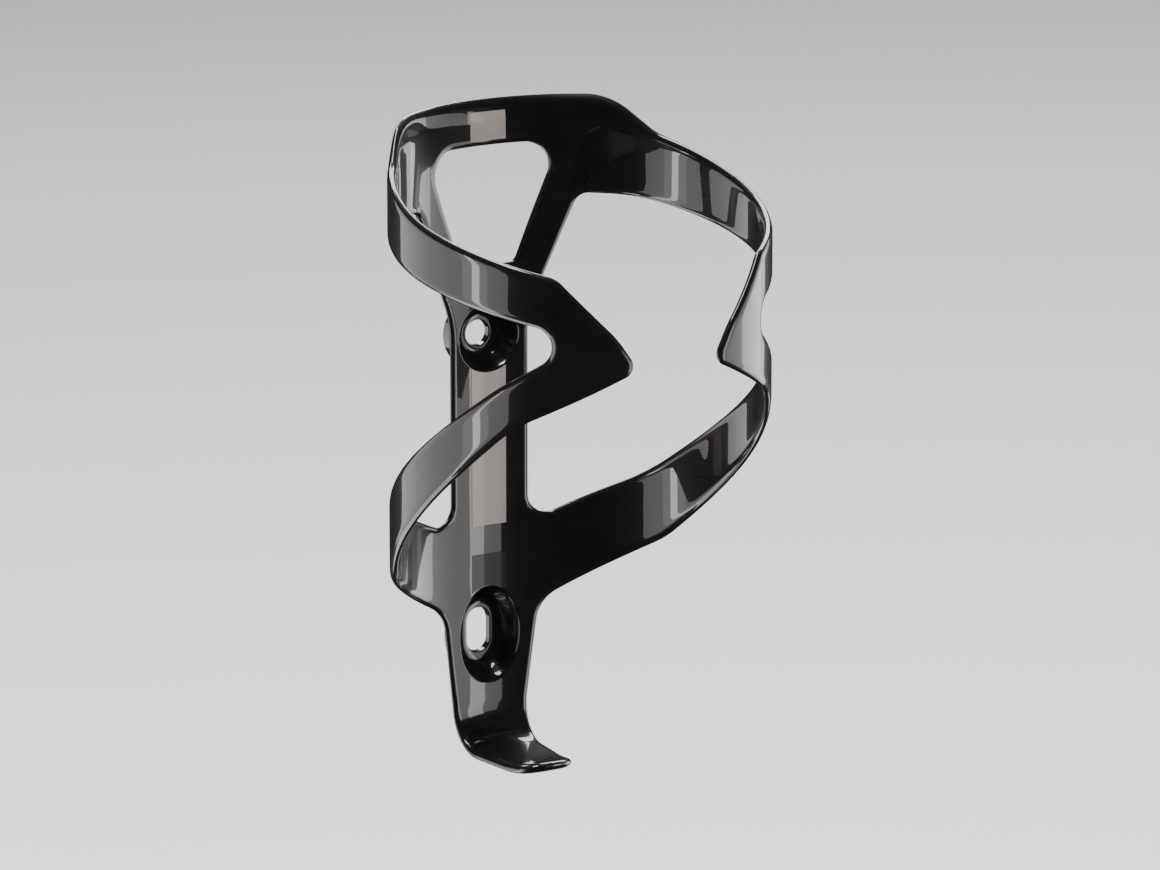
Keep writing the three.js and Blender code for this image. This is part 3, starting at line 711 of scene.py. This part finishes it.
# ---------------------------------------------------------------- neck
# Below the yoke the neck carries the slotted lower bolt cup and narrows to the bend of the foot.
LOWER_TRAVEL = 0.0032  # the lower cup is drawn out by this, up and down
NECK_HALF = 0.0089
NECK_FOOT = LOWER_BOLT - 0.0144
NECK_COLUMNS = 60
neck_foot = level_cut(NECK_HALF, NECK_FOOT)
neck_side = outer_edge.between(neck_top[-1], near(NECK_HALF, NECK_FOOT), NECK_COLUMNS)
top_run = straight(neck_top)
neck_right = [turned_round(neck_side), turned_round(top_run)]
neck_left = [left_of(run) for run in neck_right[::-1]]
neck_loop, neck_along = joined(straight(neck_foot), *neck_right, *neck_left)
neck_grid, lower_ring = ring_grid(neck_loop, neck_along, LOWER_BOLT, LOWER_TRAVEL)
neck = shell("neck_beam", [neck_grid], thickness=bossed(LOWER_BOLT, LOWER_TRAVEL))
fit(neck, carbon, "clear_coated_carbon", "neck")

# ---------------------------------------------------------------- foot
# The neck bends forward into a tongue that the bottle stands on. It flattens as it bends, narrows to a
# rounded end, and the end turns up a little to hold the bottle's base.
FOOT_BEND = 0.008  # inner radius of the bend
FOOT_FLAT = 0.018  # bend to tip
FOOT_THICKNESS = 0.0023
FOOT_EDGE = 0.0021  # thickness of the tongue's rounded sides
FOOT_TIP_HALF = 0.0062
FOOT_LIP = 0.0014  # rise of the tip
TIP_ROUND = 0.0055
FOOT_COLUMNS = 90
TIP_COLUMNS = 60
BEND_LENGTH = FOOT_BEND * np.pi / 2
FOOT_LENGTH = BEND_LENGTH + FOOT_FLAT
foot_edge = Edge(  # distance from the middle, and length along the foot from the neck
    (NECK_HALF, 0),
    (0.0083, 0.35 * FOOT_LENGTH, 0.050),
    (FOOT_TIP_HALF, FOOT_LENGTH, TIP_ROUND),
    (0, FOOT_LENGTH + 0.0004),
)


def foot_gap(points):
    """Distance from the foot's free edge."""
    gap = foot_edge.distance(np.stack([np.abs(points[..., 0]), points[..., 1]], -1))
    return np.where(gap < ON_EDGE, 0, gap)


def foot_nose(points):
    """Half the thickness at the foot's edge, which grows from the neck's to nearly all of the tongue's."""
    return (SPINE_EDGE + (FOOT_EDGE - SPINE_EDGE) * smooth(points[..., 1], 0, BEND_LENGTH)) / 2


def foot_thick(points):
    """Depths of the foot's faces: round noses at the edge, and a middle that thins from the neck's swollen
    back to the flat tongue as the bend goes round."""
    gap, a = foot_gap(points), foot_nose(points)
    bent = smooth(points[:, 1], 0, BEND_LENGTH)
    half = nose(gap, a)
    middle = SPINE_DEPTH * (1 - bent) + FOOT_THICKNESS * bent - 2 * a
    return a - half, a + half + middle * smooth(gap - a, 0, SWELL_WIDTH), gap == 0


def foot_roll(points, depth):
    """The foot's plane carried along its path: down the wall, round a quarter bend and forward, with the
    wall's roundness fading out and the last half of the flat rising as a square law."""
    x, length = points[:, 0], points[:, 1]
    turn = np.minimum(length / FOOT_BEND, np.pi / 2)
    ahead = np.maximum(length - BEND_LENGTH, 0)
    lift = FOOT_LIP * np.maximum((ahead / FOOT_FLAT - 0.5) * 2, 0) ** 2
    crown = 1 - smooth(length, 0, BEND_LENGTH)
    angle = x / BORE
    rolled_x = (BORE + depth) * np.sin(angle)
    sag = depth - ((BORE + depth) * np.cos(angle) - BORE)
    out = depth - crown * sag
    return np.stack([
        x + crown * (rolled_x - x),
        BORE - AXIS_TO_FRAME - FOOT_BEND * (1 - np.cos(turn)) - ahead + out * np.cos(turn),
        NECK_FOOT - FOOT_BEND * np.sin(turn) + lift - out * np.sin(turn),
    ], -1)


TIP_START = near(0.007, FOOT_LENGTH - 0.0075)  # the tip's rows fan out from the middle of the cut here
foot_side = foot_edge.between(near(NECK_HALF, 0), TIP_START, FOOT_COLUMNS)
tongue = rows(foot_side[0] * (-1, 1), foot_side[1] * (-1, 1), *foot_side, radius=foot_nose)
tip_run = foot_edge.between(foot_side[0][-1], foot_edge.samples[-1], TIP_COLUMNS)
heart_row = tongue[-1][HALF_ROWS:]
spread = (heart_row[:, 0] / heart_row[-1, 0])[None, :, None]
heart = near(0, foot_side[0][-1][1])
tip_half = heart + (tip_run[0][:, None] - heart) * spread
foot = shell("bottle_rest", [tongue, tip_half, mirrored(tip_half)], foot_roll, foot_thick)
fit(foot, carbon, "clear_coated_carbon", "bottle_foot")

# ---------------------------------------------------------------- bolt cups
# A smooth bowl for an M5 bolt head, with a clearance hole through its floor and a round boss behind that
# meets the frame. The upper one is round, and the lower one is a slot that takes up the bolts' spacing.
HOLE = 0.00275
SLOT_TRAVEL = 0.00205
SEAT = 0.0044  # wall's inner face to the floor of the bowl
BOWL_START = 0.05  # share of the bowl's curve that the hole cuts away
BOWL_WIDTH = 0.85  # from 0 to 1, a wider floor and a tighter rim
BOWL_ROWS = 48
BREAK = 0.0002  # broken corners of the hole
BOSS_ROUND = 0.0008
BOSS_ROWS = 8


def bolt_cup(name, ring, height, hole_travel, ring_travel):
    """A closed profile carried round the ring's own points. The bowl's outlines pass evenly from the ring in
    to the hole, while y goes from the rolled wall to the floor as 3t^2 - 2t^3 of a curve of that way."""
    ring = along_bolt(ring[:-1], height)
    slide = np.clip(ring[:, 1] / ring_travel, -1, 1) if ring_travel else np.zeros(len(ring))
    out = ring - np.stack([np.zeros(len(ring)), slide * ring_travel], -1)
    out /= np.linalg.norm(out, axis=1, keepdims=True)
    slot = np.stack([np.zeros(len(ring)), slide * hole_travel], -1)

    inward = np.linspace(0, 1, BOWL_ROWS + 1)[:, None]
    quarter = np.linspace(0, np.pi / 2, BOSS_ROWS + 1)
    seat_y = BORE - AXIS_TO_FRAME + SEAT
    outlines = [ring * (1 - t) + (slot + (HOLE + BREAK) * out) * t for t in inward]
    outlines += [slot + radius * out for radius in (HOLE, HOLE, HOLE + BREAK)]
    outlines += [ring * (1 - BOSS_ROUND * (1 - np.sin(q)) / CUP_RING) for q in quarter]
    x, z = np.moveaxis(np.array(outlines), -1, 0)
    z = z + height
    wall_y = np.sqrt(BORE**2 - x**2) - AXIS_TO_FRAME
    curve = (1 - inward) * (1 - BOWL_WIDTH * inward)
    way = 1 - smooth(BOWL_START + (1 - BOWL_START) * curve, 0, 1)
    count = len(inward)
    rest = np.concatenate([[seat_y + BREAK, -BREAK, 0], -BOSS_ROUND * (1 - np.cos(quarter))])[:, None]
    y = np.vstack([wall_y[:count] * (1 - way) + seat_y * way, np.broadcast_to(rest, x[count:].shape)])
    vertices = np.stack([x, y, z], -1).reshape(-1, 3)
    index = np.arange(x.size).reshape(x.shape)
    index = np.pad(index, ((0, 1), (0, 1)), mode="wrap")
    gap = np.full(len(vertices), EDGE_REACH)
    return make_mesh(name, vertices, [quads_of(index)], vertices[:, [0, 2]], gap)


for name, node, ring, height, hole_travel, ring_travel in (
    ("upper_cup", "upper_bolt_cup", upper_ring, UPPER_BOLT, 0, 0),
    ("lower_cup", "lower_bolt_cup", lower_ring, LOWER_BOLT, SLOT_TRAVEL, LOWER_TRAVEL),
):
    fit(bolt_cup(name, ring, height, hole_travel, ring_travel), carbon, "clear_coated_carbon", node)

# ---------------------------------------------------------------- foils
# Thin printed foils with little coat over them: a plain light square over the window, a long light stripe
# down the spine from the upper cup, and a short dark grey one between the yoke and the lower cup.
FOIL = 0.00004
FOIL_LIFT = 0.00003
STRIPE_HALF = 0.0041
BADGE_HALF = 0.0042
BADGE = (WINDOW_TOP + 0.0012, WINDOW_TOP + 0.0072)
STRIPE_FOOT = LOWER_BOLT + 0.0238
SHORT_STRIPE_TOP = LOWER_BOLT + 0.0176
FOIL_ROWS = 40


def printed_foil(name, colour, flake):
    """A dull printed foil with little coat over it: fine flake noise shifts its tone and its roughness."""
    material = bpy.data.materials.new(name)
    material.use_nodes = True
    nodes, links = material.node_tree.nodes, material.node_tree.links
    shader = nodes["Principled BSDF"]
    shader.inputs["Specular IOR Level"].default_value = 0.12
    shader.inputs["Coat Weight"].default_value = 0.3
    shader.inputs["Coat Roughness"].default_value = 0.05
    place = nodes.new("ShaderNodeTexCoord")
    noise = nodes.new("ShaderNodeTexNoise")
    noise.inputs["Scale"].default_value = 2400.0
    noise.inputs["Detail"].default_value = 3.0
    links.new(place.outputs["Object"], noise.inputs["Vector"])
    tone = nodes.new("ShaderNodeValToRGB")
    tone.color_ramp.elements[0].color = (*[c * (1 - flake) for c in colour], 1)
    tone.color_ramp.elements[1].color = (*[c * (1 + flake) for c in colour], 1)
    links.new(noise.outputs["Fac"], tone.inputs["Fac"])
    links.new(tone.outputs["Color"], shader.inputs["Base Color"])
    rough = nodes.new("ShaderNodeMapRange")
    rough.inputs["To Min"].default_value = 0.38
    rough.inputs["To Max"].default_value = 0.55
    links.new(noise.outputs["Fac"], rough.inputs["Value"])
    links.new(rough.outputs["Result"], shader.inputs["Roughness"])
    return material


def foil(name, half, low, high, material, slot, node):
    """A thin closed sheet on the wall's inner face, between two curves low(x) and high(x)."""
    x = np.linspace(-half, half, FOIL_ROWS + 1)
    share = np.linspace(0, 1, FOIL_ROWS + 1)[:, None]
    z = low(x) * (1 - share) + high(x) * share
    grid = np.stack([np.broadcast_to(x, z.shape), z], -1)

    def depths(points):
        """The sheet floats a hair's breadth inside the wall."""
        top = np.full(len(points), -FOIL_LIFT - FOIL)
        return top, top + FOIL, np.zeros(len(points), bool)

    fit(shell(name, [grid], thickness=depths), material, slot, node)


def level_at(z):
    """A level end."""
    return lambda x: np.full_like(x, z)


silver = printed_foil("silver_print", (0.160, 0.148, 0.137), 0.10)
grey = printed_foil("grey_print", (0.0075, 0.0072, 0.0068), 0.12)
foil(
    "window_badge", BADGE_HALF, level_at(BADGE[0]), level_at(BADGE[1]),
    silver, "silver_foil", "hoop_badge",
)
foil(
    "long_stripe", STRIPE_HALF, level_at(STRIPE_FOOT), lambda x: UPPER_BOLT - np.sqrt(CUP_RING**2 - x**2),
    silver, "silver_foil", "spine_stripe",
)
foil(
    "grey_stripe", STRIPE_HALF, lambda x: LOWER_BOLT + LOWER_TRAVEL + np.sqrt(CUP_RING**2 - x**2),
    level_at(SHORT_STRIPE_TOP), grey, "grey_foil", "short_stripe",
)

# ---------------------------------------------------------------- studio
# The cage hangs in free air over a plain pale floor, between tall soft boxes left and right of the camera,
# each with a brighter tube in front of it. Boxes overhead and low down draw its edges, and a wash that the
# gloss doesn't mirror lights the floor.
FLOOR = -1.20
FLOOR_RADIUS = 12.0
FLOOR_SIDES = 128
CAMERA = Vector((-0.6976, -1.2023, 0.3542))
TARGET = Vector((0, -AXIS_TO_FRAME, 0.0189))

turns = np.linspace(0, 2 * np.pi, FLOOR_SIDES, endpoint=False)
floor_x, floor_y = FLOOR_RADIUS * np.cos(turns), FLOOR_RADIUS * np.sin(turns)
floor_rim = np.stack([floor_x, floor_y, np.full(FLOOR_SIDES, FLOOR)], 1)
disc = bpy.data.meshes.new("floor")
disc.from_pydata(floor_rim.tolist(), [], [list(range(FLOOR_SIDES))])
floor = bpy.data.objects.new("floor", disc)
bpy.context.scene.collection.objects.link(floor)
floor.visible_glossy = False
paper = bpy.data.materials.new("pale_paper")
paper.use_nodes = True
paper_shader = paper.node_tree.nodes["Principled BSDF"]
paper_shader.inputs["Base Color"].default_value = (0.80, 0.79, 0.78, 1)
paper_shader.inputs["Roughness"].default_value = 0.9
disc.materials.append(paper)
floor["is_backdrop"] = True

camera_data = bpy.data.cameras.new("camera")
camera_data.sensor_width = 36
camera_data.lens = 212.7
camera_data.clip_end = 50
camera = bpy.data.objects.new("camera", camera_data)
camera.location = CAMERA
camera.rotation_euler = (TARGET - CAMERA).to_track_quat("-Z", "Y").to_euler()
bpy.context.scene.collection.objects.link(camera)
bpy.context.scene.camera = camera


def lamp(name, location, width, tall, radiance, warm=(1.0, 0.97, 0.935)):
    """A rectangular light that faces the cage. Its power is its radiance x pi x its area."""
    data = bpy.data.lights.new(name, "AREA")
    data.shape = "RECTANGLE"
    data.size, data.size_y = width, tall
    data.energy = radiance * np.pi * width * tall
    data.color = warm
    light = bpy.data.objects.new(name, data)
    light.location = location
    light.rotation_euler = (TARGET - light.location).to_track_quat("-Z", "Y").to_euler()
    bpy.context.scene.collection.objects.link(light)
    light.visible_camera = False
    return light


def soft_box(name, bearings, distance, low, high, radiance):
    """An upright box that spans two bearings, left (+) or right (-) of the camera as the cage sees them."""
    ahead = np.arctan2(CAMERA.y - TARGET.y, CAMERA.x - TARGET.x) - np.radians(sum(bearings) / 2)
    width = 2 * distance * np.tan(np.radians(abs(bearings[1] - bearings[0]) / 2))
    middle = (distance * np.cos(ahead), TARGET.y + distance * np.sin(ahead), (low + high) / 2)
    return lamp(name, middle, width, high - low, radiance)


BOX_LOW, BOX_HIGH = -0.80, 0.30
soft_box("left_box", (43, 134), 1.25, BOX_LOW, BOX_HIGH, 1.9)
soft_box("left_glow", (56, 73), 1.15, BOX_LOW, BOX_HIGH, 0.9)
soft_box("left_tube", (61.5, 66.5), 1.10, BOX_LOW, BOX_HIGH, 7)
soft_box("right_box", (-54, -137), 1.25, BOX_LOW, BOX_HIGH, 1.8)
soft_box("right_tube", (-66, -77), 1.10, BOX_LOW, BOX_HIGH, 3.8)
soft_box("rear_right_box", (-112, -144), 1.10, BOX_LOW, BOX_HIGH, 2.6)
for light in (
    soft_box("low_left_box", (60, 130), 0.60, -1.05, -0.45, 5),
    lamp("overhead_box", (-0.2, 0.1, 1.40), 1.3, 0.3, 26),
    lamp("back_top_box", (0.62, 0.98, 0.95), 1.8, 0.6, 10),
):
    light.visible_diffuse = False  # they only draw the bright lines along the edges
wash = lamp("floor_wash", (0, 0, 3.0), 10.0, 10.0, 4.6)
wash.visible_glossy = False

world = bpy.data.worlds.new("room")
world.use_nodes = True
room_light = world.node_tree.nodes["Background"]
room_light.inputs["Color"].default_value = (0.035, 0.035, 0.035, 1)
room_light.inputs["Strength"].default_value = 1.0
bpy.context.scene.world = world
